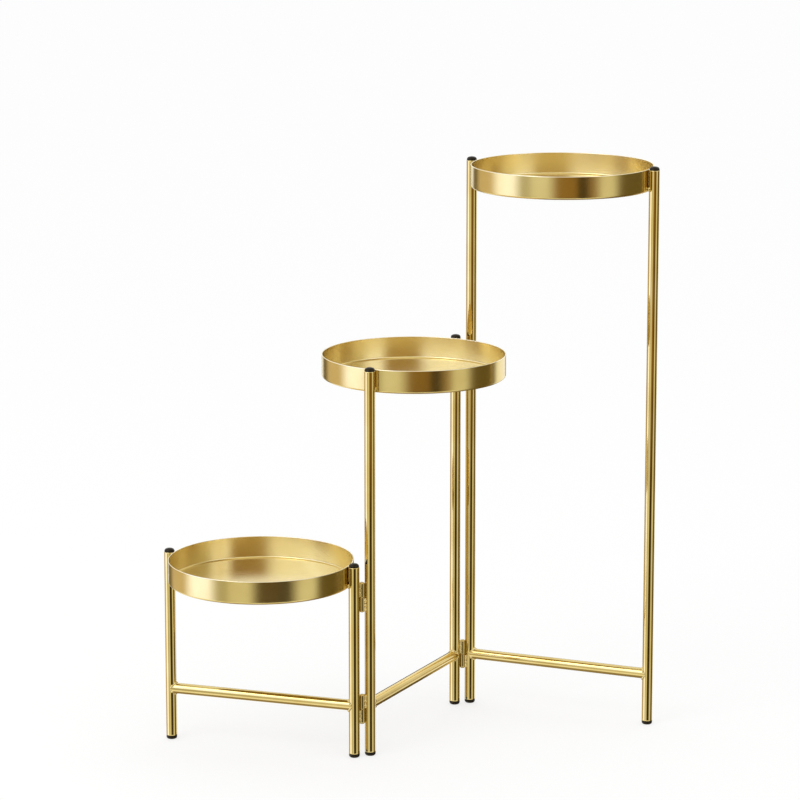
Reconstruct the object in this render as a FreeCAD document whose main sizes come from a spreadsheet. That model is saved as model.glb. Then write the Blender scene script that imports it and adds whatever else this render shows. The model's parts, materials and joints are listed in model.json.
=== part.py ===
import FreeCAD, Part
import math
import os
import types

import Sketcher

# Folding plant stand: three tube frames of rising height, each carrying a round tray, joined edge
# to edge by weld-on barrel hinges. It stands in a zigzag and folds flat. Lengths are in
# millimetres and angles in degrees. +Z is up, +X runs from the low frame towards the tall one,
# and the origin is on the floor, under the middle of the stand's box.
SIZES = {
    # frames, from the floor to the top of the caps
    "low_height": 258.0,
    "mid_height": 512.0,
    "tall_height": 750.0,
    # steel tube of the legs and crossbars
    "tube_diameter": 14.0,
    "tube_wall": 1.0,
    "tube_lip": 0.7,
    "crossbar_height": 69.0,
    "cope_trim": 2.0,
    # pressed sheet trays
    "tray_diameter": 240.0,
    "tray_depth": 30.0,
    "tray_sheet": 1.2,
    "tray_corner": 3.0,
    "tray_rim_round": 0.5,
    "tray_rim_drop": 4.0,
    "tray_gap": 0.3,
    # moulded plugs at both ends of each leg
    "plug_depth": 14.0,
    "plug_wall": 1.5,
    "plug_clearance": 0.05,
    "rib_height": 0.6,
    "rib_thickness": 1.0,
    "rib_pitch": 4.0,
    "cap_diameter": 13.2,
    "cap_edge": 1.2,
    "cap_height": 5.0,
    "foot_height": 5.0,
    "foot_round": 2.6,
    # barrel hinges
    "hinge_length": 40.0,
    "barrel_diameter": 7.5,
    "barrel_dome": 2.2,
    "barrel_chamfer": 0.4,
    "barrel_clearance": 0.35,
    "knuckle_gap": 0.3,
    "knuckle_bore_depth": 14.0,
    "pin_diameter": 4.0,
    "pin_running_gap": 0.05,
    "pin_end_gap": 1.0,
    "pin_chamfer": 0.4,
    "low_lower_hinge_height": 63.0,
    "tall_lower_hinge_height": 69.5,
    "upper_hinge_drop": 46.0,
    # weld beads
    "seam_gap": 0.05,
    "crossbar_bead": 2.3,
    "crossbar_bead_sink": 0.6,
    "tray_bead": 3.2,
    "tray_bead_reach": 3.6,
    "tray_bead_lift": 4.0,
    "knuckle_bead": 2.8,
    "knuckle_bead_inset": 4.0,
}
ANGLES = {
    # the way the stand is set up: the mid frame's turn and the openings of the two folds
    "mid_turn": 63.7,
    "low_fold": 97.8,
    "tall_fold": 93.4,
    # where a hinge's axis lies round its legs, and how far apart the crossbar's beads lie
    "hinge_lean": 45.0,
    "crossbar_bead_step": 25.0,
}
RIB_COUNT = 3
CROSSBAR_BEADS = 5
KNUCKLE_BEADS = 4

doc = FreeCAD.newDocument("plant_stand")
sheet = doc.addObject("Spreadsheet::Sheet", "sizes")
for row, (name, number) in enumerate({**SIZES, **ANGLES}.items(), start=1):
    sheet.set("A%d" % row, name)
    sheet.set("B%d" % row, str(number))
    sheet.setAlias("B%d" % row, name)
doc.recompute()


class Size:
    """A length and the sheet expression that gives it, kept together."""

    def __init__(self, value, text):
        self.value = value
        self.text = text

    def __add__(self, other):
        return Size(self.value + other.value, "(%s + %s)" % (self.text, other.text))

    def __sub__(self, other):
        return Size(self.value - other.value, "(%s - %s)" % (self.text, other.text))

    def __mul__(self, count):
        return Size(self.value * count, "(%s * %r)" % (self.text, count))

    def __truediv__(self, count):
        return Size(self.value / count, "(%s / %r)" % (self.text, count))


size = types.SimpleNamespace(**{name: Size(sheet.get(name), "sizes." + name) for name in SIZES})
angle = types.SimpleNamespace(**{name: sheet.get(name) for name in ANGLES})
ZERO = Size(0.0, "0")
UP = FreeCAD.Vector(0, 0, 1)

# Sizes that follow from the driving ones
tube_radius = size.tube_diameter / 2
tube_bore = tube_radius - size.tube_wall
tray_radius = size.tray_diameter / 2
barrel_radius = size.barrel_diameter / 2
pin_radius = size.pin_diameter / 2
leg_spacing = size.tray_diameter + size.tube_diameter + size.tray_gap * 2
knuckle_length = (size.hinge_length - size.knuckle_gap) / 2
hinge_radius = tube_radius + barrel_radius + size.barrel_clearance


def bind(item, **sizes):
    """Tie properties of an object to the sheet."""
    for name, length in sizes.items():
        setattr(item, name, length.value)
        item.setExpression(name, length.text)


def sketch_on(body, role):
    """An empty sketch on one of the body's own origin planes."""
    sketch = body.newObject("Sketcher::SketchObject", body.Name + "_sketch")
    plane = next(item for item in body.Origin.OriginFeatures if item.Role == role)
    sketch.AttachmentSupport = (plane, [""])
    sketch.MapMode = "FlatFace"
    return sketch


def constrain(sketch, kind, *where, length):
    """A dimension of a sketch, tied to the sheet."""
    number = sketch.addConstraint(Sketcher.Constraint(kind, *where, length.value))
    sketch.setExpression("Constraints[%d]" % number, length.text)


def add_circle(sketch, centre, radius):
    """A circle in a sketch, with its centre on the sketch's X axis."""
    start = FreeCAD.Vector(centre.value, 0, 0)
    ring = sketch.addGeometry(Part.Circle(start, UP, radius.value))
    if centre.value == 0:
        sketch.addConstraint(Sketcher.Constraint("Coincident", ring, 3, -1, 1))
    else:
        sketch.addConstraint(Sketcher.Constraint("PointOnObject", ring, 3, -1))
        constrain(sketch, "DistanceX", -1, 1, ring, 3, length=centre)
    constrain(sketch, "Radius", ring, length=radius)


def dome(start, end):
    """The arc from a rim point up to the crown on the axis, level at the crown."""
    rise = end[1].value - start[1].value
    radius = (start[0].value ** 2 + rise ** 2) / (2 * rise)
    centre = FreeCAD.Vector(0, end[1].value - radius, 0)
    rim = math.atan2(start[1].value - centre.y, start[0].value)
    return Part.ArcOfCircle(Part.Circle(centre, UP, radius), rim, math.pi / 2)


def turned(label, outline, dome_from=None):
    """A body of revolution about Z. The outline is (radius, height) points in order round the
    section, joined by straight lines, with a dome on the line that starts at dome_from."""
    body = doc.addObject("PartDesign::Body", label)
    sketch = sketch_on(body, "XZ_Plane")
    for number, start in enumerate(outline):
        end = outline[(number + 1) % len(outline)]
        if number == dome_from:
            sketch.addGeometry(dome(start, end))
        else:
            ends = [FreeCAD.Vector(point[0].value, point[1].value, 0) for point in (start, end)]
            sketch.addGeometry(Part.LineSegment(*ends))
    for number, (radius, height) in enumerate(outline):
        following = (number + 1) % len(outline)
        sketch.addConstraint(Sketcher.Constraint("Coincident", number, 2, following, 1))
        if radius.value == 0:
            sketch.addConstraint(Sketcher.Constraint("PointOnObject", number, 1, -2))
        else:
            constrain(sketch, "DistanceX", -1, 1, number, 1, length=radius)
        if height.value == 0:
            sketch.addConstraint(Sketcher.Constraint("PointOnObject", number, 1, -1))
        else:
            constrain(sketch, "DistanceY", -1, 1, number, 1, length=height)
    if dome_from is not None:
        sketch.addConstraint(Sketcher.Constraint("PointOnObject", dome_from, 3, -2))
    turn = body.newObject("PartDesign::Revolution", label + "_turn")
    turn.Profile = sketch
    turn.ReferenceAxis = (sketch, ["V_Axis"])
    turn.Angle = 360
    return body


def round_edges(body, radius, places):
    """Round the circular edges of a body that lie nearest to the given (radius, height) places."""
    doc.recompute()
    base = body.Tip
    circles = {
        "Edge%d" % number: edge.Curve
        for number, edge in enumerate(base.Shape.Edges, start=1)
        if isinstance(edge.Curve, Part.Circle)
    }
    names = []
    for ring, height in places:
        names.append(min(circles, key=lambda name: math.hypot(
            circles[name].Radius - ring.value, circles[name].Center.z - height.value)))
    fillet = body.newObject("PartDesign::Fillet", body.Name + "_round")
    fillet.Base = (base, names)
    bind(fillet, Radius=radius)


def place(item, point, height, turn=0.0, flipped=False):
    """Set an object on a plan point, at a height, turned about Z and perhaps upside down."""
    spin = FreeCAD.Rotation(UP, turn)
    if flipped:
        spin = spin.multiply(FreeCAD.Rotation(FreeCAD.Vector(1, 0, 0), 180))
    item.Placement = FreeCAD.Placement(FreeCAD.Vector(point.x, point.y, height.value), spin)


def tube_leg(label, length):
    """A length of tube on end, its two ends lightly rounded on the outside."""
    body = doc.addObject("PartDesign::Body", label)
    sketch = sketch_on(body, "XY_Plane")
    add_circle(sketch, ZERO, tube_radius)
    add_circle(sketch, ZERO, tube_bore)
    pad = body.newObject("PartDesign::Pad", label + "_pad")
    pad.Profile = sketch
    bind(pad, Length=length)
    round_edges(body, size.tube_lip, [(tube_radius, ZERO), (tube_radius, length)])
    return body


def crossbar(label):
    """A length of tube along X, coped at both ends to sit against the legs."""
    body = doc.addObject("PartDesign::Body", label)
    ring = sketch_on(body, "YZ_Plane")
    add_circle(ring, ZERO, tube_radius)
    add_circle(ring, ZERO, tube_bore)
    pad = body.newObject("PartDesign::Pad", label + "_pad")
    pad.Profile = ring
    pad.Midplane = True
    bind(pad, Length=leg_spacing - size.cope_trim * 2)
    doc.recompute()
    uncut = pad.Shape.Volume
    mouth = sketch_on(body, "XY_Plane")
    for side in (-1, 1):
        add_circle(mouth, leg_spacing / 2 * side, tube_radius + size.seam_gap)
    cope = body.newObject("PartDesign::Pocket", label + "_cope")
    cope.Profile = mouth
    cope.Type = "ThroughAll"
    cope.Midplane = True
    doc.recompute()
    if cope.Shape.Volume >= uncut:
        raise RuntimeError(label + " was not coped")
    return body


def tray(label):
    """A round dish pressed from sheet: flat floor, upright wall, rounded corner and rim."""
    inside = tray_radius - size.tray_sheet
    body = turned(label, [
        (ZERO, ZERO),
        (tray_radius, ZERO),
        (tray_radius, size.tray_depth),
        (inside, size.tray_depth),
        (inside, size.tray_sheet),
        (ZERO, size.tray_sheet),
    ])
    round_edges(body, size.tray_corner, [(tray_radius, ZERO)])
    round_edges(body, size.tray_corner - size.tray_sheet, [(inside, size.tray_sheet)])
    round_edges(body, size.tray_rim_round, [(tray_radius, size.tray_depth), (inside, size.tray_depth)])
    return body


def ribbed_stem(base):
    """The outside of a plug's stem, from its base height up, with its gripping ribs."""
    grip = tube_bore - size.plug_clearance
    stem = grip - size.rib_height
    points = [(stem, base)]
    for number in range(RIB_COUNT):
        low = base + size.rib_pitch * (number + 1) - size.rib_thickness
        high = low + size.rib_thickness
        points += [(stem, low), (grip, low), (grip, high), (stem, high)]
    points.append((stem, base + size.plug_depth))
    return points


def plug_hollow():
    """The bore of a plug's stem, which is moulded hollow."""
    return tube_bore - size.plug_clearance - size.rib_height - size.plug_wall


def cap(label):
    """A plug for the top of a leg: a low dome that sits on the tube's end, over a ribbed stem."""
    radius = size.cap_diameter / 2
    hollow = plug_hollow()
    edge = size.plug_depth + size.cap_edge
    outline = [(ZERO, size.plug_depth), (hollow, size.plug_depth), (hollow, ZERO)]
    outline += ribbed_stem(ZERO)
    outline += [(radius, size.plug_depth), (radius, edge)]
    outline.append((ZERO, size.plug_depth + size.cap_height))
    return turned(label, outline, dome_from=len(outline) - 2)


def foot(label):
    """A plug for the bottom of a leg: a thick disc with a rounded sole, under a ribbed stem."""
    hollow = plug_hollow()
    outline = [(ZERO, ZERO), (tube_radius, ZERO), (tube_radius, size.foot_height)]
    outline += ribbed_stem(size.foot_height)
    outline += [(hollow, size.foot_height + size.plug_depth), (hollow, size.foot_height)]
    outline.append((ZERO, size.foot_height))
    body = turned(label, outline)
    round_edges(body, size.foot_round, [(tube_radius, ZERO)])
    return body


def knuckle(label, bore):
    """Half a barrel hinge: a short bar with a domed end, drilled blind from its flat end."""
    outline = [
        (bore, ZERO),
        (barrel_radius - size.barrel_chamfer, ZERO),
        (barrel_radius, size.barrel_chamfer),
        (barrel_radius, knuckle_length - size.barrel_dome),
        (ZERO, knuckle_length),
        (ZERO, size.knuckle_bore_depth),
        (bore, size.knuckle_bore_depth),
    ]
    return turned(label, outline, dome_from=3)


def hinge_pin(label):
    """A plain pin with chamfered ends."""
    length = size.knuckle_bore_depth * 2 + size.knuckle_gap - size.pin_end_gap
    return turned(label, [
        (ZERO, ZERO),
        (pin_radius - size.pin_chamfer, ZERO),
        (pin_radius, size.pin_chamfer),
        (pin_radius, length - size.pin_chamfer),
        (pin_radius - size.pin_chamfer, length),
        (ZERO, length),
    ])


def rod(label, radius, length):
    """A solid round used only to cut weld beads to what they join."""
    item = doc.addObject("Part::Cylinder", label)
    bind(item, Radius=radius + size.seam_gap, Height=length)
    return item


def weld_bead(label, radius, centres, cutters, poles=UP):
    """A run of overlapping weld puddles along a seam, trimmed by the pieces that it joins. The
    balls have their poles along a direction in which the trimming takes the poles away."""
    puddles = []
    for centre in centres:
        puddle = doc.addObject("Part::Sphere", label + "_puddle")
        bind(puddle, Radius=radius)
        puddle.Placement = FreeCAD.Placement(centre, FreeCAD.Rotation(UP, poles))
        puddles.append(puddle)
    bead = puddles[0]
    if len(puddles) > 1:
        bead = doc.addObject("Part::MultiFuse", label + "_run")
        bead.Shapes = puddles
    for cutter in cutters:
        trimmed = doc.addObject("Part::Cut", label + "_trim")
        trimmed.Base = bead
        trimmed.Tool = cutter
        bead = trimmed
    return bead


def weld_group(label, beads):
    """All the weld beads of one kind on a frame, as one group."""
    group = doc.addObject("Part::Compound", label)
    group.Links = beads
    return group


def heading(turn):
    return FreeCAD.Vector(math.cos(math.radians(turn)), math.sin(math.radians(turn)), 0)


def left_of(way):
    return FreeCAD.Vector(-way.y, way.x, 0)


# Plan of the stand. A hinge's axis lies beyond the end of each frame by its reach, and off the
# frame's plane by its side, so that the frames can fold face to face and open in a line.
spacing = leg_spacing.value
lean = math.radians(angle.hinge_lean)
reach = hinge_radius.value * math.cos(lean)
side = hinge_radius.value * math.sin(lean)
turns = {
    "low": angle.mid_turn + angle.low_fold,
    "mid": angle.mid_turn,
    "tall": angle.mid_turn + 180 + angle.tall_fold,
}
ways = {name: heading(turn) for name, turn in turns.items()}
legs = {("mid", "left"): FreeCAD.Vector(), ("mid", "right"): ways["mid"] * spacing}
axes = {
    "low": legs["mid", "left"] - ways["mid"] * reach + left_of(ways["mid"]) * side,
    "tall": legs["mid", "right"] + ways["mid"] * reach - left_of(ways["mid"]) * side,
}
legs["low", "right"] = axes["low"] + ways["low"] * reach + left_of(ways["low"]) * side
legs["low", "left"] = legs["low", "right"] + ways["low"] * spacing
legs["tall", "left"] = axes["tall"] + ways["tall"] * reach + left_of(ways["tall"]) * side
legs["tall", "right"] = legs["tall", "left"] + ways["tall"] * spacing
centres = {name: (legs[name, "left"] + legs[name, "right"]) * 0.5 for name in turns}

# The origin goes to the middle of the box round the trays and legs.
discs = [(point, tube_radius.value) for point in legs.values()]
discs += [(point, tray_radius.value) for point in centres.values()]
low_corner = FreeCAD.Vector(min(p.x - r for p, r in discs), min(p.y - r for p, r in discs), 0)
high_corner = FreeCAD.Vector(max(p.x + r for p, r in discs), max(p.y + r for p, r in discs), 0)
middle = (low_corner + high_corner) * 0.5
legs = {name: point - middle for name, point in legs.items()}
axes = {name: point - middle for name, point in axes.items()}
centres = {name: point - middle for name, point in centres.items()}

heights = {"low": size.low_height, "mid": size.mid_height, "tall": size.tall_height}
nodes = []
leg_rods = {}

# The three frames
for name, height in heights.items():
    tube_top = height - size.cap_height
    tray_floor = height - size.tray_rim_drop - size.tray_depth
    centre = centres[name]
    turn = turns[name]

    for hand in ("left", "right"):
        point = legs[name, hand]
        leg = tube_leg("%s_%s_leg" % (name, hand), tube_top - size.foot_height)
        place(leg, point, size.foot_height)
        top_plug = cap("%s_%s_cap" % (name, hand))
        place(top_plug, point, tube_top - size.plug_depth)
        bottom_plug = foot("%s_%s_foot" % (name, hand))
        place(bottom_plug, point, ZERO)
        leg_rods[name, hand] = rod("%s_%s_rod" % (name, hand), tube_radius, height)
        place(leg_rods[name, hand], point, ZERO)
        nodes += [leg, top_plug, bottom_plug]

    bar = crossbar(name + "_crossbar")
    place(bar, centre, size.crossbar_height, turn)
    bar_rod = rod(name + "_bar_rod", tube_radius, leg_spacing)
    bar_start = centre - ways[name] * (spacing / 2) + UP * size.crossbar_height.value
    bar_rod.Placement = FreeCAD.Placement(bar_start, FreeCAD.Rotation(UP, ways[name]))
    dish = tray(name + "_tray")
    place(dish, centre, tray_floor, turn)
    dish_blank = rod(name + "_tray_rod", tray_radius, size.tray_depth)
    place(dish_blank, centre, tray_floor)
    nodes += [bar, dish]

    # The crossbar's beads follow the saddle line where the two tubes meet, above and below.
    # The tray's are in the two narrow valleys beside each leg.
    bar_beads = []
    tray_beads = []
    across = left_of(ways[name])
    for hand in ("left", "right"):
        point = legs[name, hand]
        inward = (centre - point).normalize()
        for level in (1, -1):
            puddles = []
            for number in range(CROSSBAR_BEADS):
                swept = math.radians((number - (CROSSBAR_BEADS - 1) / 2) * angle.crossbar_bead_step)
                rise = math.cos(swept)
                swing = across * math.sin(swept)
                seam = (inward * rise + swing + UP * (level * rise)) * tube_radius.value
                inside = (inward * rise + swing * 2 + UP * (level * rise)).normalize()
                seam = seam - inside * size.crossbar_bead_sink.value
                puddles.append(point + UP * size.crossbar_height.value + seam)
            label = "%s_%s_bar_bead" % (name, hand)
            cutters = [leg_rods[name, hand], bar_rod]
            bar_beads.append(weld_bead(label, size.crossbar_bead, puddles, cutters))
        contact = point + inward * (tube_radius.value + size.tray_gap.value / 2)
        contact = contact + UP * (tray_floor.value + size.tray_bead_lift.value)
        for way in (1, -1):
            puddle = contact + across * (way * size.tray_bead_reach.value)
            label = "%s_%s_tray_bead" % (name, hand)
            cutters = [leg_rods[name, hand], dish_blank]
            tray_beads.append(weld_bead(label, size.tray_bead, [puddle], cutters, poles=inward))
    nodes.append(weld_group(name + "_crossbar_welds", bar_beads))
    nodes.append(weld_group(name + "_tray_welds", tray_beads))

# The four hinges. The upper and lower hinge of a pair face opposite ways, so that neither frame
# can be lifted off the other: each entry names the frames that carry the top and bottom knuckles.
hinged_legs = {
    ("low", "low"): ("low", "right"),
    ("low", "mid"): ("mid", "left"),
    ("tall", "mid"): ("mid", "right"),
    ("tall", "tall"): ("tall", "left"),
}
hinges = [
    ("low", "upper", size.low_height - size.upper_hinge_drop, "low", "mid"),
    ("low", "lower", size.low_lower_hinge_height, "mid", "low"),
    ("tall", "upper", size.mid_height - size.upper_hinge_drop, "tall", "mid"),
    ("tall", "lower", size.tall_lower_hinge_height, "mid", "tall"),
]
hinge_beads = {name: [] for name in heights}
for pair, level, height, top_frame, bottom_frame in hinges:
    label = "%s_%s_hinge" % (pair, level)
    axis = axes[pair]
    top_face = height + size.knuckle_gap / 2
    bottom_face = height - size.knuckle_gap / 2
    top = knuckle(label + "_top_knuckle", pin_radius + size.pin_running_gap)
    place(top, axis, top_face)
    bottom = knuckle(label + "_bottom_knuckle", pin_radius)
    place(bottom, axis, bottom_face, flipped=True)
    pin = hinge_pin(label + "_pin")
    place(pin, axis, bottom_face - size.knuckle_bore_depth)
    barrel_rod = rod(label + "_rod", barrel_radius, size.hinge_length)
    place(barrel_rod, axis, height - size.hinge_length / 2)
    nodes += [top, bottom, pin]

    # Each knuckle's bead runs up the valley between the barrel and its own leg.
    run = knuckle_length - size.barrel_dome - size.knuckle_bead_inset * 2
    for frame, face, way in ((top_frame, top_face, 1), (bottom_frame, bottom_face, -1)):
        leg_name = hinged_legs[pair, frame]
        outward = (legs[leg_name] - axis).normalize()
        seam = axis + outward * (barrel_radius.value + size.barrel_clearance.value / 2)
        puddles = []
        for number in range(KNUCKLE_BEADS):
            along = size.knuckle_bead_inset.value + run.value * number / (KNUCKLE_BEADS - 1)
            puddles.append(seam + UP * (face.value + way * along))
        cutters = [leg_rods[leg_name], barrel_rod]
        hinge_beads[frame].append(weld_bead(label + "_bead", size.knuckle_bead, puddles, cutters))
for name, beads in hinge_beads.items():
    nodes.append(weld_group(name + "_hinge_welds", beads))

doc.recompute()
for item in doc.Objects:
    if "Invalid" in item.State or "Error" in item.State:
        raise RuntimeError("%s failed: %s" % (item.Label, item.State))
for node in nodes:
    if node.Shape.isNull() or not node.Shape.isValid() or not node.Shape.Solids:
        raise RuntimeError(node.Label + " has no valid solid")

os.makedirs("parts", exist_ok=True)
for node in nodes:
    node.Shape.exportStep("parts/%s.step" % node.Label)
print("%d nodes, %d solids" % (len(nodes), sum(len(node.Shape.Solids) for node in nodes)))
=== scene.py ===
import json
import math
import random

import bmesh
import bpy
from mathutils import Matrix, Vector


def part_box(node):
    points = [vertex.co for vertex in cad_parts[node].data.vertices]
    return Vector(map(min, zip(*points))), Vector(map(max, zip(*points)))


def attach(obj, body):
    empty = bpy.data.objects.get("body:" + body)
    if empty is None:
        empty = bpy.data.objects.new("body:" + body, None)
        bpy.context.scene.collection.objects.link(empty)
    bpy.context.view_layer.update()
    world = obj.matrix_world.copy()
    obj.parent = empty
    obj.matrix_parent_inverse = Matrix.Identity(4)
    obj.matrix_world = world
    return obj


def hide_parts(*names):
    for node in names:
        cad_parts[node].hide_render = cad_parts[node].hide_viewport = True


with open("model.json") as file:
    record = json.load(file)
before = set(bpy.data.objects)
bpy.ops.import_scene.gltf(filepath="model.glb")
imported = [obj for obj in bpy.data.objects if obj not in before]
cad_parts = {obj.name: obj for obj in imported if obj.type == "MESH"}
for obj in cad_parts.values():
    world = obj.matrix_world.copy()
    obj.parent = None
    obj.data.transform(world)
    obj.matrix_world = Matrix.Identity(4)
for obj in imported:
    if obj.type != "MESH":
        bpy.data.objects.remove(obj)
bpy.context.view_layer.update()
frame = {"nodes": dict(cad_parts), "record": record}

# Legs: six lengths of steel tube a little over half an inch across, two to a frame, cut square and
# lightly rounded over at the ends. They are polished and plated in a pale gold, so they mirror the
# room in upright bands.
mm = 0.001
frames = ("low", "mid", "tall")
hands = ("left", "right")
tube_radius = 7.0 * mm
tube_wall = 1.0 * mm
tube_bore = tube_radius - tube_wall
tube_lip = 0.7 * mm
tube_steps = 72
lip_segments = 5
pale_gold = (0.80, 0.64, 0.275)
deep_gold = (0.71, 0.535, 0.19)
fine_relief = 2e-6
places = {mount["name"]: Vector(mount["pos_m"]) for mount in frame["record"]["mounts"]}
rides = {
    node: body
    for body, nodes in frame["record"]["behaviour"]["bodies"].items()
    for node in nodes
}


def feet_of(name):
    """Where a frame's left and right legs stand on the floor."""
    return [places["%s_%s_foot_face" % (name, hand)] for hand in hands]


def turned(outline, steps, rounds=()):
    """A section of (radius, height) corners spun about Z. The corners in rounds are rounded over,
    each to its own radius with its own number of segments. A section that starts on the axis stays
    open there, and any other is closed on itself."""
    merge_distance, same_place = 1e-7, 1e-6
    shape = bmesh.new()
    corners = [shape.verts.new((radius, 0, height)) for radius, height in outline]
    joined = corners if outline[0][0] == 0 else corners + corners[:1]
    sides = [shape.edges.new(pair) for pair in zip(joined, joined[1:])]
    bmesh.ops.spin(
        shape, geom=corners + sides, cent=(0, 0, 0), axis=(0, 0, 1),
        angle=math.tau, steps=steps, use_merge=True)
    bmesh.ops.remove_doubles(shape, verts=shape.verts, dist=merge_distance)
    bmesh.ops.recalc_face_normals(shape, faces=shape.faces)
    for corner, radius, segments in rounds:
        ring = {
            vert for vert in shape.verts
            if (Vector((vert.co.xy.length, vert.co.z)) - Vector(corner)).length < same_place
        }
        edges = [edge for edge in shape.edges if all(vert in ring for vert in edge.verts)]
        bmesh.ops.bevel(
            shape, geom=edges, offset=radius, offset_type="OFFSET", segments=segments,
            profile=0.5, affect="EDGES", material=-1)
    return shape


def finished(name, shape, where=Vector(), turn=0.0):
    """The mesh of a piece, set in its place, shaded smooth across all but its creases."""
    crease = math.radians(35.0)
    seat = Matrix.Translation(where) @ Matrix.Rotation(turn, 4, "Z")
    bmesh.ops.transform(shape, verts=shape.verts, matrix=seat)
    mesh = bpy.data.meshes.new(name)
    shape.to_mesh(mesh)
    shape.free()
    mesh.shade_smooth()
    mesh.set_sharp_from_angle(angle=crease)
    item = bpy.data.objects.new(name, mesh)
    bpy.context.scene.collection.objects.link(item)
    return item


def stand_for(item, node, finish):
    """The piece takes its node's place and body, and its finish."""
    item.data.materials.append(finish)
    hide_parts(node)
    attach(item, rides[node])


def add(tree, kind, **settings):
    """One more node in a material, with its settings."""
    node = tree.nodes.new("ShaderNode" + kind)
    for name, value in settings.items():
        setattr(node, name, value)
    return node


def plating_group():
    """Plated metal: cloudy drifts in tone and gloss, as handling leaves them, and a drawn grain."""
    group = bpy.data.node_groups.new("plating", "ShaderNodeTree")
    for name, kind in (
        ("Vector", "NodeSocketVector"), ("Pale", "NodeSocketColor"), ("Deep", "NodeSocketColor"),
        ("Gloss", "NodeSocketFloat"), ("Dull", "NodeSocketFloat"), ("Grain", "NodeSocketVector"),
    ):
        group.interface.new_socket(name, in_out="INPUT", socket_type=kind)
    for name, kind in (
        ("Colour", "NodeSocketColor"), ("Roughness", "NodeSocketFloat"),
        ("Height", "NodeSocketFloat"),
    ):
        group.interface.new_socket(name, in_out="OUTPUT", socket_type=kind)
    inside = group.nodes.new("NodeGroupInput")
    out = group.nodes.new("NodeGroupOutput")
    drift = add(group, "TexNoise")
    drift.inputs["Scale"].default_value = 16.0
    drift.inputs["Detail"].default_value = 4.0
    drift.inputs["Roughness"].default_value = 0.55
    specks = add(group, "TexNoise")
    specks.inputs["Scale"].default_value = 420.0
    specks.inputs["Detail"].default_value = 3.0
    grain_scale = add(group, "VectorMath", operation="MULTIPLY")
    grain = add(group, "TexNoise")
    grain.inputs["Scale"].default_value = 1.0
    grain.inputs["Detail"].default_value = 2.0
    spread = add(group, "MapRange")
    spread.inputs["From Min"].default_value = 0.36
    spread.inputs["From Max"].default_value = 0.66
    tone = add(group, "Mix", data_type="RGBA")
    gloss = add(group, "Mix", data_type="FLOAT")
    fine = add(group, "Math", operation="MULTIPLY_ADD")
    speck_share = 0.02
    fine.inputs[1].default_value = speck_share
    join = group.links.new
    join(inside.outputs["Vector"], drift.inputs["Vector"])
    join(inside.outputs["Vector"], specks.inputs["Vector"])
    join(inside.outputs["Vector"], grain_scale.inputs[0])
    join(inside.outputs["Grain"], grain_scale.inputs[1])
    join(grain_scale.outputs[0], grain.inputs["Vector"])
    join(drift.outputs["Fac"], spread.inputs["Value"])
    join(spread.outputs["Result"], tone.inputs["Factor"])
    join(inside.outputs["Pale"], tone.inputs["A"])
    join(inside.outputs["Deep"], tone.inputs["B"])
    join(spread.outputs["Result"], gloss.inputs["Factor"])
    join(inside.outputs["Gloss"], gloss.inputs["A"])
    join(inside.outputs["Dull"], gloss.inputs["B"])
    join(specks.outputs["Fac"], fine.inputs[0])
    join(gloss.outputs["Result"], fine.inputs[2])
    join(tone.outputs["Result"], out.inputs["Colour"])
    join(fine.outputs[0], out.inputs["Roughness"])
    join(grain.outputs["Fac"], out.inputs["Height"])
    return group


plating = plating_group()


def plated(name, pale, deep, gloss, dull, grain, relief, turn=0.0):
    """A plated finish, from its palest and glossiest to its deepest and dullest. The grain has
    three scales, along X, Y and Z, and may be turned with the piece. Relief is its height."""
    finish = bpy.data.materials.new(name)
    finish.use_nodes = True
    tree = finish.node_tree
    shader = tree.nodes["Principled BSDF"]
    shader.inputs["Metallic"].default_value = 1.0
    coordinate = add(tree, "TexCoord")
    mapping = add(tree, "Mapping")
    mapping.inputs["Rotation"].default_value = (0, 0, -turn)
    marks = add(tree, "Group", node_tree=plating)
    marks.inputs["Pale"].default_value = (*pale, 1)
    marks.inputs["Deep"].default_value = (*deep, 1)
    marks.inputs["Gloss"].default_value = gloss
    marks.inputs["Dull"].default_value = dull
    marks.inputs["Grain"].default_value = grain
    bump = add(tree, "Bump")
    bump.inputs["Strength"].default_value = 1.0
    bump.inputs["Distance"].default_value = relief
    tree.links.new(coordinate.outputs["Object"], mapping.inputs["Vector"])
    tree.links.new(mapping.outputs["Vector"], marks.inputs["Vector"])
    tree.links.new(marks.outputs["Colour"], shader.inputs["Base Color"])
    tree.links.new(marks.outputs["Roughness"], shader.inputs["Roughness"])
    tree.links.new(marks.outputs["Height"], bump.inputs["Height"])
    tree.links.new(bump.outputs["Normal"], shader.inputs["Normal"])
    return finish


leg_finish = plated(
    "polished gold tube", pale_gold, deep_gold, gloss=0.035, dull=0.07,
    grain=(500, 500, 18), relief=fine_relief)
for name in frames:
    for hand, stand in zip(hands, feet_of(name)):
        node = "%s_%s_leg" % (name, hand)
        low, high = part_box(node)
        bottom, top = (tube_radius, low.z), (tube_radius, high.z)
        section = [
            bottom, (tube_radius, low.z + 2 * tube_lip),
            (tube_radius, high.z - 2 * tube_lip), top,
            (tube_bore, high.z), (tube_bore, low.z),
        ]
        shape = turned(section, tube_steps, [
            (bottom, tube_lip, lip_segments), (top, tube_lip, lip_segments),
        ])
        leg = finished(node + "_tube", shape, stand)
        stand_for(leg, node, leg_finish)

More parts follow.
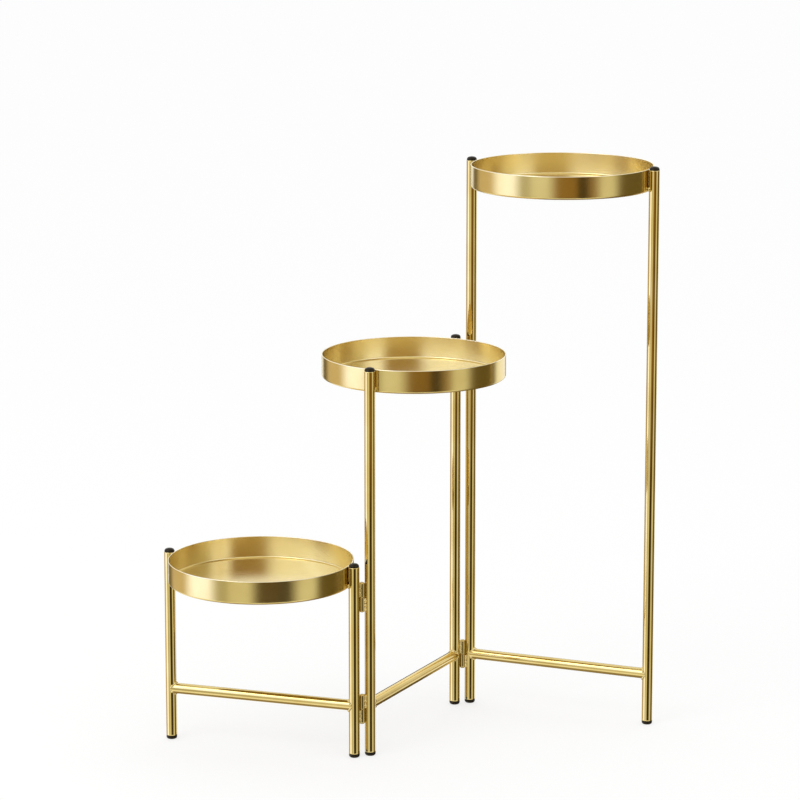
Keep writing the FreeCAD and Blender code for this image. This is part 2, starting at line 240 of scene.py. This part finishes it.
# Crossbars: one length of the same tube low down between each pair of legs. Its ends are coped to
# fit round the legs, and it is welded there.
crossbar_height = 69.0 * mm
cope_trim = 2.0 * mm
seam_gap = 0.05 * mm
for name in frames:
    left, right = feet_of(name)
    span = right - left
    turn = math.atan2(span.y, span.x)
    half = span.length / 2
    shape = bmesh.new()
    near_end = bmesh.ops.create_circle(shape, segments=tube_steps, radius=tube_radius)["verts"]
    lie_down = Matrix.Rotation(math.pi / 2, 3, "Y")
    bmesh.ops.rotate(shape, verts=near_end, cent=(0, 0, 0), matrix=lie_down)
    bmesh.ops.translate(shape, verts=near_end, vec=(-half, 0, 0))
    pulled = bmesh.ops.extrude_edge_only(shape, edges=shape.edges[:])["geom"]
    far_end = [item for item in pulled if isinstance(item, bmesh.types.BMVert)]
    bmesh.ops.translate(shape, verts=far_end, vec=(2 * half, 0, 0))
    for vert in shape.verts:
        depth = math.sqrt(max((tube_radius + seam_gap) ** 2 - vert.co.y ** 2, 0))
        vert.co.x = math.copysign(half - max(depth, cope_trim), vert.co.x)
    bmesh.ops.recalc_face_normals(shape, faces=shape.faces)
    outward = sum(
        face.normal.dot(face.calc_center_median() * Vector((0, 1, 1))) for face in shape.faces)
    if outward < 0:
        bmesh.ops.reverse_faces(shape, faces=shape.faces)
    bmesh.ops.solidify(shape, geom=shape.faces[:], thickness=tube_wall)
    bmesh.ops.recalc_face_normals(shape, faces=shape.faces)
    bar_middle = (left + right) / 2 + Vector((0, 0, crossbar_height))
    bar = finished(name + "_crossbar_tube", shape, bar_middle, turn)
    bar_finish = plated(
        "polished gold crossbar, %s frame" % name, pale_gold, deep_gold, gloss=0.07, dull=0.11,
        grain=(18, 500, 500), relief=fine_relief, turn=turn)
    stand_for(bar, name + "_crossbar", bar_finish)

# Crossbar welds: where a crossbar meets a leg, the two are joined by short runs of weld above and
# below, laid drop by drop round the saddle and plated over with the rest of the frame. No drop is
# so fat that it would foul the next frame when the stand is folded flat.
fold_room = 7.6 * mm
weld_count = 9
weld_start, weld_step, weld_stray = -72, 18, 2.5
weld_sunk = 0.45
weld_length = 1.75 * mm
fat_weld, slim_weld, weld_change = 2.45 * mm, 1.75 * mm, 0.15
thinnest, fattest = 0.92, 1.08
fat_margin = 1.1
# Partly painted shade: the deep tone of the welds is darker than the tubes' plating, to stand in
# for the dimmer light round the joints.
weld_painted_shade_finish = plated(
    "plated weld with painted shade", (0.85, 0.72, 0.37), (0.57, 0.44, 0.16), gloss=0.03, dull=0.08,
    grain=(260, 260, 260), relief=1e-5)
chance = random.Random(11)


def drop(shape, centre, along, across, length):
    """One drop of weld metal: a slightly uneven ball, its length lying along the seam."""
    ball = bmesh.ops.create_icosphere(shape, subdivisions=3, radius=1.0)["verts"]
    lean = along.to_track_quat("Z", "Y").to_matrix().to_4x4()
    uneven = [chance.uniform(thinnest, fattest) for _ in range(3)]
    swell = Matrix.Diagonal((across * uneven[0], across * uneven[1], length * uneven[2], 1))
    bmesh.ops.transform(shape, verts=ball, matrix=Matrix.Translation(centre) @ lean @ swell)


def run_together(item, fineness, passes):
    """Drops of weld flow into one bead: they are skinned over as one and softened."""
    skin = item.modifiers.new("skin", "REMESH")
    skin.mode = "VOXEL"
    skin.voxel_size = fineness
    skin.use_smooth_shade = True
    soften = item.modifiers.new("soften", "SMOOTH")
    soften.factor = 0.5
    soften.iterations = passes


for name in frames:
    shape = bmesh.new()
    left, right = feet_of(name)
    for foot, other in ((left, right), (right, left)):
        inward = (other - foot).normalized()
        across = Vector((-inward.y, inward.x, 0))
        for level in (1, -1):
            for number in range(weld_count):
                degrees = weld_start + weld_step * number + chance.uniform(-weld_stray, weld_stray)
                swept = math.radians(degrees)
                rise, swing = math.cos(swept), math.sin(swept)
                seam = (inward * rise + across * swing) * tube_radius
                seam = seam + Vector((0, 0, level * rise * tube_radius + crossbar_height))
                along = across * rise - inward * swing - Vector((0, 0, level * swing))
                core = inward * rise + across * swing * 2 + Vector((0, 0, level * rise))
                centre = seam - core.normalized() * weld_sunk * mm
                thick = fat_weld if number % 2 else slim_weld
                thick = thick + chance.uniform(-weld_change, weld_change) * mm
                room = (fold_room - abs(centre.dot(across))) / fat_margin
                drop(shape, foot + centre, along, min(thick, room), weld_length)
    beads = finished(name + "_crossbar_welds_beads", shape)
    run_together(beads, fineness=0.25 * mm, passes=4)
    stand_for(beads, name + "_crossbar_welds", weld_painted_shade_finish)

# Trays: round dishes pressed from thin sheet, flat in the floor, with an upright wall, a small
# rounded corner and a dressed rim. They have a satin gold-tone plating. The paler colour inside the
# wall is painted light, and the palest colour along the rim is a painted highlight.
tray_radius = 120.0 * mm
tray_depth = 30.0 * mm
tray_sheet = 1.2 * mm
tray_corner = 3.0 * mm
tray_rim_round = 0.55 * mm
tray_steps = 180
outer_segments, inner_segments, rim_segments = 8, 6, 4
rim_highlight_index, inside_light_index = 1, 2
wall_lean = 0.5
satin_grain = (900, 900, 900)
tray_finish = plated(
    "satin gold tray", (0.77, 0.62, 0.265), (0.72, 0.56, 0.215), gloss=0.17, dull=0.21,
    grain=satin_grain, relief=fine_relief)
# Painted highlight: the rim is coloured near white so that it shows as a bright line of light.
rim_painted_highlight = plated(
    "tray rim painted highlight", (0.94, 0.86, 0.62), (0.9, 0.8, 0.52), gloss=0.16, dull=0.24,
    grain=satin_grain, relief=fine_relief)
# Painted light: the inside of the wall is coloured paler than the outside, to stand in for the
# light it catches.
inside_wall_painted_light = plated(
    "satin inside wall painted light", (0.9, 0.78, 0.44), (0.85, 0.72, 0.37), gloss=0.2, dull=0.25,
    grain=satin_grain, relief=fine_relief)
for name in frames:
    inner_radius = tray_radius - tray_sheet
    flat = tray_radius - tray_corner - tray_sheet
    wall_foot, wall_top = tray_corner + tray_sheet, tray_depth - tray_sheet
    outer_corner, inner_corner = (tray_radius, 0), (inner_radius, tray_sheet)
    outer_rim, inner_rim = (tray_radius, tray_depth), (inner_radius, tray_depth)
    section = [
        (0, 0), (flat, 0), outer_corner, (tray_radius, wall_foot), (tray_radius, wall_top),
        outer_rim, inner_rim, (inner_radius, wall_top), (inner_radius, wall_foot),
        inner_corner, (flat, tray_sheet), (0, tray_sheet),
    ]
    shape = turned(section, tray_steps, [
        (outer_corner, tray_corner, outer_segments),
        (inner_corner, tray_corner - tray_sheet, inner_segments),
        (outer_rim, tray_rim_round, rim_segments), (inner_rim, tray_rim_round, rim_segments),
    ])
    # Rim faces get the painted highlight, and faces inside the wall get the painted light.
    for face in shape.faces:
        spot = face.calc_center_median()
        facing_in = face.normal.dot(spot * Vector((1, 1, 0))) < 0
        if spot.z > tray_depth - tray_rim_round:
            face.material_index = rim_highlight_index
        elif facing_in and face.normal.z < wall_lean:
            face.material_index = inside_light_index
    base = places[name + "_tray_floor"] - Vector((0, 0, tray_sheet))
    dish = finished(name + "_tray_dish", shape, base)
    stand_for(dish, name + "_tray", tray_finish)
    dish.data.materials.append(rim_painted_highlight)
    dish.data.materials.append(inside_wall_painted_light)

# Tray welds: each tray is tacked to its two legs low on its wall, with a lump of weld in the narrow
# valley on either side of the leg.
tack_reach = 3.6 * mm
tack_lift = 4.0 * mm
tack_back = 1.3 * mm
tack_drops = 2
tack_pitch = 1.7
tack_stray = (-0.2, 0.5)
tack_thick = 2.4 * mm
tack_length = 2.7 * mm
for name in frames:
    shape = bmesh.new()
    tray_floor = places[name + "_tray_floor"]
    for foot in feet_of(name):
        inward = (Vector((tray_floor.x, tray_floor.y, 0)) - foot).normalized()
        across = Vector((-inward.y, inward.x, 0))
        contact = foot + inward * (tube_radius - tack_back)
        contact = contact + Vector((0, 0, tray_floor.z - tray_sheet + tack_lift))
        for way in (1, -1):
            for number in range(tack_drops):
                rise = Vector((0, 0, (number * tack_pitch - tack_pitch / 2) * mm))
                reach = (tack_reach + chance.uniform(*tack_stray) * mm) * way
                drop(shape, contact + across * reach + rise, across, tack_thick, tack_length)
    tacks = finished(name + "_tray_welds_beads", shape)
    run_together(tacks, fineness=0.3 * mm, passes=3)
    stand_for(tacks, name + "_tray_welds", weld_painted_shade_finish)

# Feet: moulded black plugs driven into the bottom of each leg, with a thick rounded sole outside
# and three gripping ribs on a hollow stem inside.
foot_height = 5.0 * mm
sole_round, sole_segments = 2.9 * mm, 8
shoulder_round, shoulder_segments = 0.3 * mm, 3
plug_depth = 14.0 * mm
plug_steps = 64
rib_count = 3
rib_pitch = 4.0 * mm
rib_width = 1.0 * mm
rib_height = 0.6 * mm
stem_wall = 1.5 * mm
grip_ease = 0.05 * mm
grip = tube_bore - grip_ease
stem = grip - rib_height
hollow = stem - stem_wall


def ribbed(base):
    """The outside of a plug's stem, from its base up, with its ribs."""
    points = [(stem, base)]
    for number in range(rib_count):
        top = base + rib_pitch * (number + 1)
        points += [(stem, top - rib_width), (grip, top - rib_width), (grip, top), (stem, top)]
    return points + [(stem, base + plug_depth)]


def moulded(name):
    """Black plastic with a fine spark-eroded texture and pale scuffs where it is handled."""
    finish = bpy.data.materials.new(name)
    finish.use_nodes = True
    tree = finish.node_tree
    shader = tree.nodes["Principled BSDF"]
    shader.inputs["Specular IOR Level"].default_value = 0.25
    shader.inputs["Specular Tint"].default_value = (1.0, 0.8, 0.45, 1)
    coordinate = add(tree, "TexCoord")
    texture = add(tree, "TexNoise")
    texture.inputs["Scale"].default_value = 1800.0
    texture.inputs["Detail"].default_value = 2.0
    scuffs = add(tree, "TexNoise")
    scuffs.inputs["Scale"].default_value = 260.0
    scuffs.inputs["Detail"].default_value = 5.0
    edge = add(tree, "MapRange")
    edge.inputs["From Min"].default_value = 0.5
    edge.inputs["From Max"].default_value = 0.75
    tone = add(tree, "Mix", data_type="RGBA")
    tone.inputs["A"].default_value = (0.006, 0.005, 0.004, 1)
    tone.inputs["B"].default_value = (0.016, 0.014, 0.011, 1)
    sheen = add(tree, "MapRange")
    sheen.inputs["To Min"].default_value = 0.28
    sheen.inputs["To Max"].default_value = 0.5
    bump = add(tree, "Bump")
    bump.inputs["Distance"].default_value = 2e-5
    tree.links.new(coordinate.outputs["Object"], texture.inputs["Vector"])
    tree.links.new(coordinate.outputs["Object"], scuffs.inputs["Vector"])
    tree.links.new(scuffs.outputs["Fac"], edge.inputs["Value"])
    tree.links.new(edge.outputs["Result"], tone.inputs["Factor"])
    tree.links.new(scuffs.outputs["Fac"], sheen.inputs["Value"])
    tree.links.new(tone.outputs["Result"], shader.inputs["Base Color"])
    tree.links.new(sheen.outputs["Result"], shader.inputs["Roughness"])
    tree.links.new(texture.outputs["Fac"], bump.inputs["Height"])
    tree.links.new(bump.outputs["Normal"], shader.inputs["Normal"])
    return finish


plug_finish = moulded("black moulded plug")
for name in frames:
    for hand, stand in zip(hands, feet_of(name)):
        node = "%s_%s_foot" % (name, hand)
        sole, shoulder = (tube_radius, 0), (tube_radius, foot_height)
        section = [(0, 0), sole, shoulder] + ribbed(foot_height)
        section += [(hollow, foot_height + plug_depth), (hollow, foot_height), (0, foot_height)]
        shape = turned(section, plug_steps, [
            (sole, sole_round, sole_segments), (shoulder, shoulder_round, shoulder_segments),
        ])
        plug = finished(node + "_plug", shape, stand)
        stand_for(plug, node, plug_finish)

# Caps: plugs of the same moulded black plastic in the top of each leg, with the same ribbed stem
# inside and a full dome that sits on the end of the tube. The dome runs in from its edge by shares
# of its radius and of its fall from the top.
cap_radius = 6.6 * mm
cap_edge = 1.2 * mm
cap_height = 5.0 * mm
cap_dome = ((0.97, 0.76), (0.9, 0.52), (0.78, 0.32), (0.6, 0.17), (0.32, 0.05), (0, 0))
for name in frames:
    for hand, stand in zip(hands, feet_of(name)):
        node = "%s_%s_cap" % (name, hand)
        top = plug_depth + cap_height
        section = [(0, plug_depth), (hollow, plug_depth), (hollow, 0)] + ribbed(0)
        section += [(cap_radius, plug_depth), (cap_radius, plug_depth + cap_edge)]
        for reach, fall in cap_dome:
            section.append((cap_radius * reach, top - (cap_height - cap_edge) * fall))
        shape = turned(section, plug_steps)
        seat = stand + Vector((0, 0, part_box(node)[0].z))
        cap = finished(node + "_plug", shape, seat)
        stand_for(cap, node, plug_finish)

# Hinge knuckles: four weld-on barrel hinges, two to each fold. A knuckle is a short turned bar with
# a domed end and a blind bore for the pin, free in the top knuckle and tight in the bottom one, and
# each is welded to the leg of its own frame.
barrel_radius = 3.75 * mm
barrel_steps = 56
barrel_dome = 2.2 * mm
knuckle_length = 19.85 * mm
knuckle_dome = ((0.97, 0.24), (0.88, 0.5), (0.74, 0.72), (0.54, 0.88), (0.28, 0.97), (0, 1))
straight = knuckle_length - barrel_dome
mouth_band, dome_band = 0.8 * mm, 0.5 * mm
mouth_round, mouth_segments = 0.4 * mm, 2
free_bore, tight_bore = 2.05 * mm, 2.0 * mm
bore_depth = 14.0 * mm
hinges = [pair + level for pair in ("low_", "tall_") for level in ("upper", "lower")]
axes = {
    joint["name"].split("_")[0]: Vector(joint["pos_m"])
    for joint in frame["record"]["behaviour"]["joints"]
}
# Painted shade: the hinge plating is coloured darker than the legs' plating, to stand in for the
# shade in the narrow gap between the legs.
hinge_painted_shade_finish = plated(
    "polished gold hinge with painted shade", (0.68, 0.53, 0.21), (0.54, 0.41, 0.14), gloss=0.06, dull=0.11,
    grain=(300, 300, 300), relief=4e-6)


def mouth_height(node):
    """The height of a knuckle's mouth: a top knuckle opens downwards and a bottom one upwards."""
    low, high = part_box(node)
    return low.z if node.endswith("_top_knuckle") else high.z


for hinge in hinges:
    axis = axes[hinge.split("_")[0]]
    for half, bore in (("top", free_bore), ("bottom", tight_bore)):
        node = "%s_hinge_%s_knuckle" % (hinge, half)
        mouth = (barrel_radius, 0)
        section = [
            (bore, 0), mouth, (barrel_radius, mouth_band),
            (barrel_radius, straight - dome_band), (barrel_radius, straight),
        ]
        for reach, rise in knuckle_dome:
            section.append((barrel_radius * reach, knuckle_length - barrel_dome * (1 - rise)))
        section += [(0, bore_depth), (bore, bore_depth)]
        shape = turned(section, barrel_steps, [(mouth, mouth_round, mouth_segments)])
        if half == "bottom":
            turn_over = Matrix.Rotation(math.pi, 3, "X")
            bmesh.ops.rotate(shape, verts=shape.verts, cent=(0, 0, 0), matrix=turn_over)
        seat = Vector((axis.x, axis.y, mouth_height(node)))
        knuckle = finished(node + "_barrel", shape, seat)
        stand_for(knuckle, node, hinge_painted_shade_finish)

# Hinge pins: plain drawn steel, pressed into each bottom knuckle and free in the top one. Only a
# hair line of them shows in the gap between the knuckles.
pin_finish = plated(
    "bare steel pin", (0.56, 0.56, 0.57), (0.47, 0.47, 0.48), gloss=0.22, dull=0.34,
    grain=(900, 900, 30), relief=4e-6)
for hinge in hinges:
    pin = frame["nodes"][hinge + "_hinge_pin"]
    pin.data.materials.clear()
    pin.data.materials.append(pin_finish)

# Hinge welds: a string of drops up the valley on either side between each knuckle and its own leg,
# with a fat one at every fourth. They are plated over with the frame.
string_count = 10
string_start, string_pitch, string_stray = 2.7, 1.6, 0.25
string_length = 1.8 * mm
fat_every = 4
fat_bulge, fat_thick = 2.1, 2.15
slim_bulge, slim_thick, slim_change = 1.7, 1.8, (-0.15, 0.1)
seam_depth = 0.17 * mm
upwards = Vector((0, 0, 1))
for name in frames:
    shape = bmesh.new()
    for hinge in hinges:
        axis = axes[hinge.split("_")[0]]
        for half, way in (("top", 1), ("bottom", -1)):
            node = "%s_hinge_%s_knuckle" % (hinge, half)
            if rides[node] != name + "_frame":
                continue
            own_leg = min(feet_of(name), key=lambda foot: (foot - axis).length)
            outward = (own_leg - axis).normalized()
            seam = axis + outward * (barrel_radius + seam_depth)
            valley = Vector((-outward.y, outward.x, 0))
            for side, fat_place in ((1, 2), (-1, 1)):
                for number in range(string_count):
                    stray = chance.uniform(-string_stray, string_stray)
                    rise = (string_start + string_pitch * number + stray) * mm
                    if number % fat_every == fat_place:
                        bulge, thick = fat_bulge, fat_thick
                    else:
                        bulge, thick = slim_bulge, slim_thick + chance.uniform(*slim_change)
                    height = Vector((0, 0, mouth_height(node) + way * rise))
                    centre = seam + valley * side * bulge * mm + height
                    drop(shape, centre, upwards, thick * mm, string_length)
    beads = finished(name + "_hinge_welds_beads", shape)
    run_together(beads, fineness=0.25 * mm, passes=4)
    stand_for(beads, name + "_hinge_welds", weld_painted_shade_finish)

# Floor: a plain pale sheet under the stand, matt and wide. Most of its white is its own, so that it
# stays pale and still keeps the stand's shadow. The metal mirrors the studio and not the sheet.
floor_reach = 12.0
own_white = 0.7
shape = bmesh.new()
bmesh.ops.create_grid(shape, x_segments=2, y_segments=2, size=floor_reach)
floor = finished("floor", shape)
floor.visible_glossy = False
floor_paint = bpy.data.materials.new("pale floor")
floor_paint.use_nodes = True
floor_tree = floor_paint.node_tree
sheet = floor_tree.nodes["Principled BSDF"]
sheet.inputs["Base Color"].default_value = (0.94, 0.94, 0.94, 1)
sheet.inputs["Roughness"].default_value = 0.9
sheet.inputs["Specular IOR Level"].default_value = 0.0
white = add(floor_tree, "Emission")
path = add(floor_tree, "LightPath")
mirrored = add(floor_tree, "Math", operation="MAXIMUM")
through = add(floor_tree, "Math", operation="MAXIMUM")
part_white = add(floor_tree, "Math", operation="MULTIPLY")
part_white.inputs[1].default_value = own_white
blend = add(floor_tree, "MixShader")
floor_tree.links.new(path.outputs["Is Camera Ray"], mirrored.inputs[0])
floor_tree.links.new(path.outputs["Is Glossy Ray"], mirrored.inputs[1])
floor_tree.links.new(mirrored.outputs[0], through.inputs[0])
floor_tree.links.new(path.outputs["Is Transmission Ray"], through.inputs[1])
floor_tree.links.new(through.outputs[0], part_white.inputs[0])
floor_tree.links.new(part_white.outputs[0], blend.inputs[0])
floor_tree.links.new(sheet.outputs[0], blend.inputs[1])
floor_tree.links.new(white.outputs[0], blend.inputs[2])
floor_tree.links.new(blend.outputs[0], floor_tree.nodes["Material Output"].inputs["Surface"])
floor.data.materials.append(floor_paint)

# Studio: a plain white room. Round the set stands a ring of tall cards, which only the polished
# metal sees, so the tubes and tray walls mirror them as upright bands. The cards stand in rows, one
# above another, and each runs from one bearing to another, where 0 is the camera's side.
ring_radius, ring_height, ring_drop = 3.0, 6.0, -1.2
ring_segments = 96
facing_up = 0.9
world = bpy.data.worlds.new("white room")
bpy.context.scene.world = world
world.use_nodes = True
world.node_tree.nodes["Background"].inputs["Color"].default_value = (1, 1, 1, 1)
world.node_tree.nodes["Background"].inputs["Strength"].default_value = 1.0
shape = bmesh.new()
bmesh.ops.create_cone(
    shape, segments=ring_segments, radius1=ring_radius, radius2=ring_radius, depth=ring_height,
    cap_ends=True)
lid = [face for face in shape.faces if face.normal.z > facing_up]
bmesh.ops.delete(shape, geom=lid, context="FACES")
bmesh.ops.reverse_faces(shape, faces=shape.faces)
card_ring = finished("card ring", shape, Vector((0, 0, ring_drop)))
for ray in ("camera", "diffuse", "shadow", "transmission", "volume_scatter"):
    setattr(card_ring, "visible_" + ray, False)
card_paint = bpy.data.materials.new("studio cards")
card_paint.use_nodes = True
card_tree = card_paint.node_tree
card_tree.nodes.remove(card_tree.nodes["Principled BSDF"])
glow = add(card_tree, "Emission")
card_tree.links.new(glow.outputs["Emission"], card_tree.nodes["Material Output"].inputs["Surface"])
place = add(card_tree, "TexCoord")
split = add(card_tree, "SeparateXYZ")
ahead = add(card_tree, "Math", operation="MULTIPLY")
ahead.inputs[1].default_value = -1.0
bearing = add(card_tree, "Math", operation="ARCTAN2")
way_round = add(card_tree, "MapRange")
way_round.inputs["From Min"].default_value = -math.pi
way_round.inputs["From Max"].default_value = math.pi
card_tree.links.new(place.outputs["Object"], split.inputs["Vector"])
card_tree.links.new(split.outputs["Y"], ahead.inputs[0])
card_tree.links.new(split.outputs["X"], bearing.inputs[0])
card_tree.links.new(ahead.outputs[0], bearing.inputs[1])
card_tree.links.new(bearing.outputs[0], way_round.inputs["Value"])
soft_white = (1.5, 1.6, 2.3, 1)
high_white = (1.4, 1.6, 2.4, 1)
side_white = (1.32, 1.45, 2.0, 1)
white_card = (1.15, 1.15, 1.15, 1)
pale_card = (0.85, 0.84, 0.72, 1)
tan_card = (0.55, 0.52, 0.4, 1)
honey_card = (0.75, 0.62, 0.42, 1)
bronze_card = (0.32, 0.19, 0.05, 1)
brown_card = (0.15, 0.11, 0.035, 1)
black_card = (0.05, 0.035, 0.01, 1)
ground_card = (0.36, 0.3, 0.18, 1)


def card_row(row):
    """A row of cards round the ring, each from one bearing to another, soft where they meet."""
    ramp = add(card_tree, "ValToRGB")
    card_tree.links.new(way_round.outputs["Result"], ramp.inputs["Fac"])
    stops = ramp.color_ramp.elements
    ends = [(degrees, colour) for start, end, colour in row for degrees in (start, end)]
    for number, (degrees, colour) in enumerate(ends):
        stop = stops[number] if number < 2 else stops.new(1.0)
        stop.position = (degrees + 180) / 360
        stop.color = colour
    return ramp.outputs["Color"]


def over(below, above, bottom, top):
    """One row of the ring passing into the next between two heights."""
    height = add(card_tree, "MapRange")
    height.inputs["From Min"].default_value = bottom
    height.inputs["From Max"].default_value = top
    tier = add(card_tree, "Mix", data_type="RGBA")
    card_tree.links.new(split.outputs["Z"], height.inputs["Value"])
    card_tree.links.new(height.outputs["Result"], tier.inputs["Factor"])
    for colour, name in ((below, "A"), (above, "B")):
        if isinstance(colour, tuple):
            tier.inputs[name].default_value = colour
        else:
            card_tree.links.new(colour, tier.inputs[name])
    return tier.outputs["Result"]


left_cards = (
    (-180, -173, black_card), (-166, -158, white_card), (-150, -142, brown_card),
    (-130, -104, honey_card), (-88, -66, soft_white), (-52, -44, tan_card),
)
right_cards = ((78, 116, brown_card), (127, 158, white_card), (165, 180, black_card))
lower = card_row(((-180, 60, white_card), (84, 180, brown_card)))
low_middle = card_row((
    *left_cards, (-36, -16, pale_card), (-4, 32, black_card), (48, 66, pale_card), *right_cards,
))
high_middle = card_row((
    *left_cards, (-36, -18, pale_card), (-4, 18, bronze_card), (23, 31, black_card),
    (38, 42, bronze_card), (52, 66, pale_card), *right_cards,
))
upper = card_row((
    (-180, -120, white_card), (-105, -18, high_white), (-4, 34, bronze_card),
    (44, 59, side_white), (74, 116, tan_card), (140, 180, white_card),
))
bottom_rows = over(ground_card, lower, bottom=-4.1, top=-2.8)
middle_rows = over(low_middle, high_middle, bottom=-0.4, top=-0.2)
all_but_top = over(bottom_rows, middle_rows, bottom=-1.15, top=-0.98)
all_rows = over(all_but_top, upper, bottom=0.6, top=0.85)
card_tree.links.new(all_rows, glow.inputs["Color"])
card_ring.data.materials.append(card_paint)

# Key light: one large soft box, high up in front of the stand on its left and turned towards the
# middle of it. It is the only lamp, and it gives the tubes and trays their soft shadows.
key_aim = Vector((0, 0, 0.35))
lamp = bpy.data.lights.new("soft box", "AREA")
lamp.shape = "RECTANGLE"
lamp.size = 1.6
lamp.size_y = 1.2
lamp.energy = 16.0
soft_box = bpy.data.objects.new("soft box", lamp)
soft_box.location = (-1.7, -1.6, 2.3)
soft_box.rotation_euler = (key_aim - soft_box.location).to_track_quat("-Z", "Y").to_euler()
bpy.context.scene.collection.objects.link(soft_box)

# Camera: a long lens well back from the stand and a little above it, pitched down towards it, with
# its frame shifted down a little.
camera_pitch = 10.769
lens = bpy.data.cameras.new("camera")
lens.sensor_width = 36.0
lens.lens = 153.0
lens.shift_y = -0.07
lens.clip_end = 50.0
camera = bpy.data.objects.new("camera", lens)
camera.location = (-0.01464, -4.33878, 1.34648)
camera.rotation_euler = (math.radians(90 - camera_pitch), 0, 0)
bpy.context.scene.collection.objects.link(camera)
bpy.context.scene.camera = camera
bpy.context.scene.view_settings.view_transform = "Standard"
